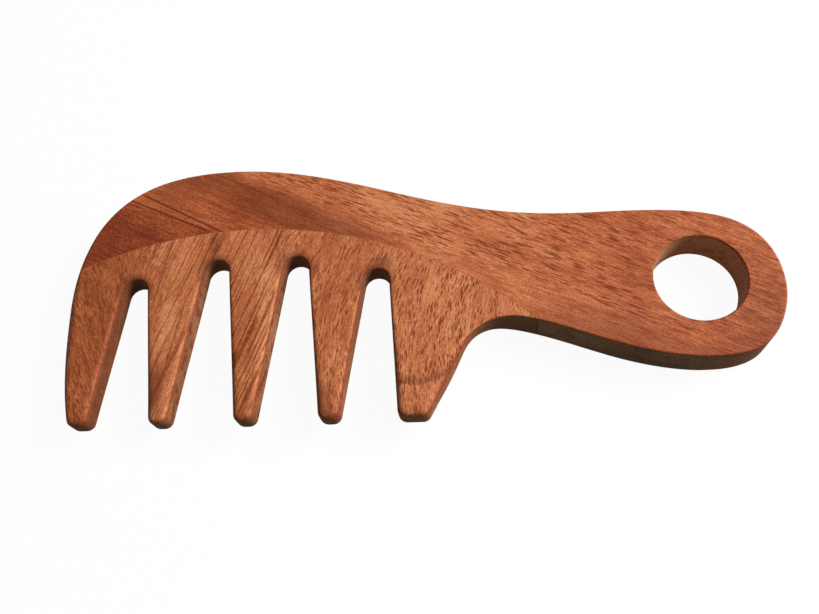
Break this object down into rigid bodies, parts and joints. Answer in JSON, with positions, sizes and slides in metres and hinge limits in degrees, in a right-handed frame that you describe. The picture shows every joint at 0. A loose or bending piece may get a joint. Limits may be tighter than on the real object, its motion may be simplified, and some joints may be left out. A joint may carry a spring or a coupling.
{
  "type": "wide-tooth hair comb",
  "caption": "Wooden rake comb for curly hair: a few wide tapered teeth under a curved back, running into a side handle with a large round eye at its end.",
  "frame": {"origin": "under the middle of the comb's box, on its back face", "axes": "+X towards the handle's end, +Y from the tooth tips to the comb's back, +Z out of the front face"},
  "size_m": [0.2008, 0.0776, 0.012],
  "materials": {
    "back_wood": "oiled mahogany-like hardwood with long grain, sanded and satin",
    "block_wood": "oiled mahogany-like hardwood with upright grain, sanded and satin",
    "wood_glue": "dried wood glue, a thin dark film"
  },
  "bodies": {
    "root": {"handle_back": "back_wood", "tooth_block": "block_wood", "glue_line": "wood_glue"}
  },
  "joints": []
}
